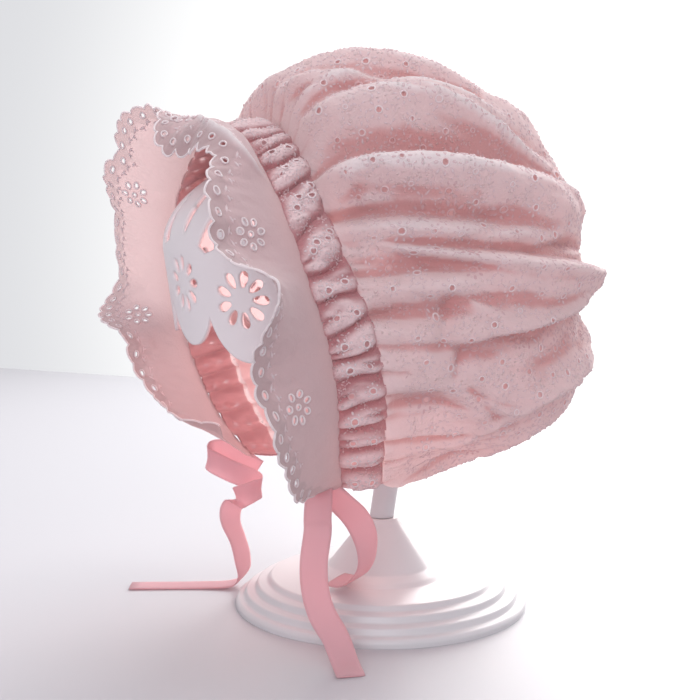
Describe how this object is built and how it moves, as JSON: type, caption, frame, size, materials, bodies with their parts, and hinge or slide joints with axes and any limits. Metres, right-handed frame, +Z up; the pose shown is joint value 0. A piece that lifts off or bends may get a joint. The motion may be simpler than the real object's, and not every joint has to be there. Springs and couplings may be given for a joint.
{
  "type": "baby sun cap on hat stand",
  "caption": "Gathered eyelet-cotton baby sun cap with shirred face band, waved scalloped brim and ribbon ties, on a plain openwork stand with a stepped round base.",
  "frame": {"origin": "centre of the stand base's flat underside", "axes": "+Z up, the cap's face opening looks along -Y, the wearer's left is +X"},
  "size_m": [0.2254, 0.2307, 0.2744],
  "materials": {
    "crown_cotton": "pink eyelet cotton with raised embroidery",
    "band_cotton": "the same cotton drawn up on elastic",
    "brim_cotton": "single layer of the same cotton with a scalloped eyelet edge",
    "ribbon": "soft woven ribbon",
    "stand_plastic": "smooth white moulded plastic"
  },
  "bodies": {
    "root": {"crown": "crown_cotton", "face_band": "band_cotton", "brim": "brim_cotton", "tie_left": "ribbon", "tie_left_tail": "ribbon", "tie_right": "ribbon", "stand_base": "stand_plastic", "stand_stem": "stand_plastic", "stand_head": "stand_plastic"}
  },
  "joints": []
}
